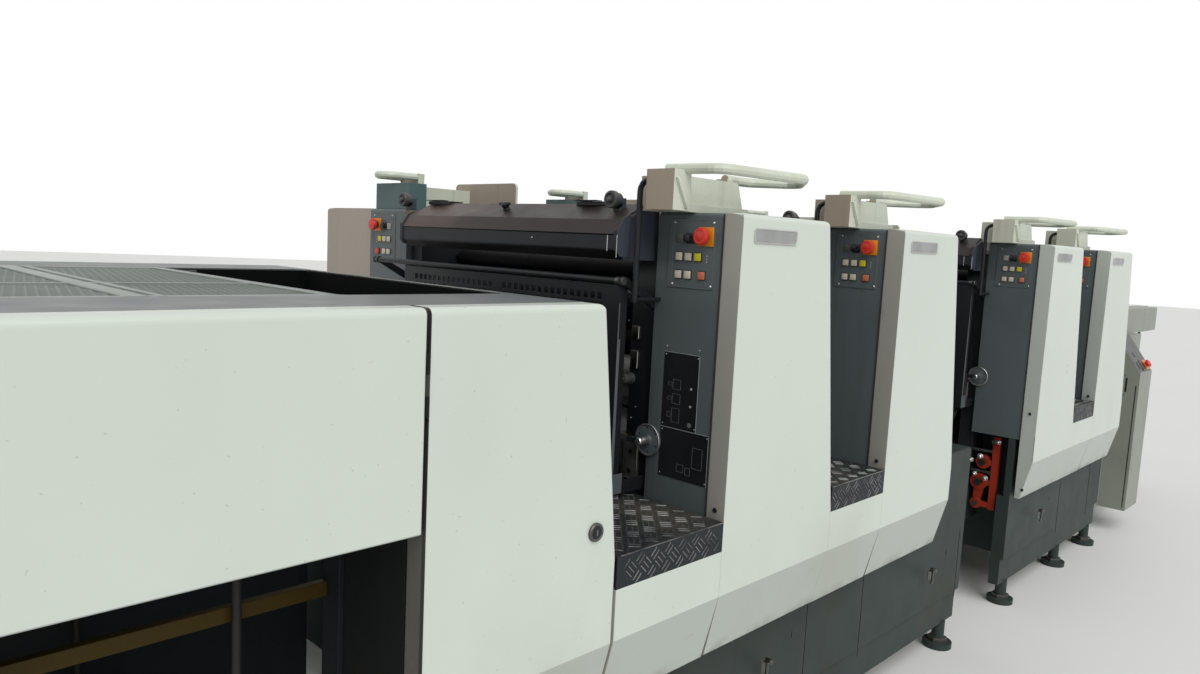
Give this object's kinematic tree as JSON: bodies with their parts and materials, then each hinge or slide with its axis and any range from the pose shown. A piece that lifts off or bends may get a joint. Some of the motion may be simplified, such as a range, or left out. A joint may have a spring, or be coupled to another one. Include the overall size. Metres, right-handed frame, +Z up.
{
  "type": "offset printing press",
  "caption": "Sheet-fed offset printing press: a delivery with a cabinet door, tall printing units with side covers, handrails and footboards, and a feeder.",
  "frame": {"origin": "on the floor, at the middle of the press's box", "axes": "+X along the press from the delivery to the feeder, -Y towards the operator's side, +Z up"},
  "size_m": [8.4, 2.166, 1.898],
  "materials": {
    "base_teal": "satin",
    "button_red": "gloss",
    "chequer_plate": "gloss",
    "cover_white": "satin",
    "deck_grey": "gloss",
    "duct_black": "satin",
    "feeder_grey": "satin",
    "frame_grey": "satin",
    "housing_slate": "satin",
    "linkage_red": "satin",
    "rail_black": "satin",
    "rail_cream": "satin",
    "rail_yellow": "satin",
    "roller_rubber": "matte",
    "roller_steel": "satin",
    "wood": "matte"
  },
  "bodies": {
    "press": {"delivery_deck": "deck_grey", "delivery_end_cover": "cover_white", "delivery_frames": "frame_grey", "delivery_mesh_guard": "deck_grey", "delivery_pile_table": "wood", "delivery_section_bed": "base_teal", "delivery_side_covers": "cover_white", "drive_side_boxes": "base_teal", "electrical_cabinet": "housing_slate", "feed_board": "roller_steel", "feeder_console": "feeder_grey", "feeder_frames": "feeder_grey", "feeder_pile_table": "wood", "feeder_section_bed": "base_teal", "feeder_side_covers": "feeder_grey", "footboard_skirts": "cover_white", "footboards": "chequer_plate", "grab_rails": "rail_black", "handrails": "rail_cream", "inking_rollers": "roller_rubber", "linkage_shafts": "roller_steel", "pile_guard_rails": "rail_yellow", "printing_cylinders": "roller_steel", "push_buttons": "button_red", "register_linkage": "linkage_red", "step_boxes": "base_teal", "suction_head": "frame_grey", "unit_1_control_housings": "housing_slate", "unit_1_frames": "frame_grey", "unit_1_ink_duct": "duct_black", "unit_1_plate_guard": "duct_black", "unit_1_side_covers": "cover_white", "unit_2_control_housings": "housing_slate", "unit_2_frames": "frame_grey", "unit_2_ink_duct": "duct_black", "unit_2_plate_guard": "duct_black", "unit_2_side_covers": "cover_white", "unit_3_control_housings": "housing_slate", "unit_3_frames": "frame_grey", "unit_3_ink_duct": "duct_black", "unit_3_plate_guard": "duct_black", "unit_3_side_covers": "cover_white", "unit_4_control_housings": "housing_slate", "unit_4_frames": "frame_grey", "unit_4_ink_duct": "duct_black", "unit_4_plate_guard": "duct_black", "unit_4_side_covers": "cover_white"},
    "cabinet_door": {"cabinet_door": "cover_white"}
  },
  "joints": [
    {"name": "cabinet_door_hinge", "type": "hinge", "parent": "press", "child": "cabinet_door", "pos_m": [-2.522, -1.08, 1], "axis": [0, 0, -1], "range_deg": [0, 100]}
  ]
}
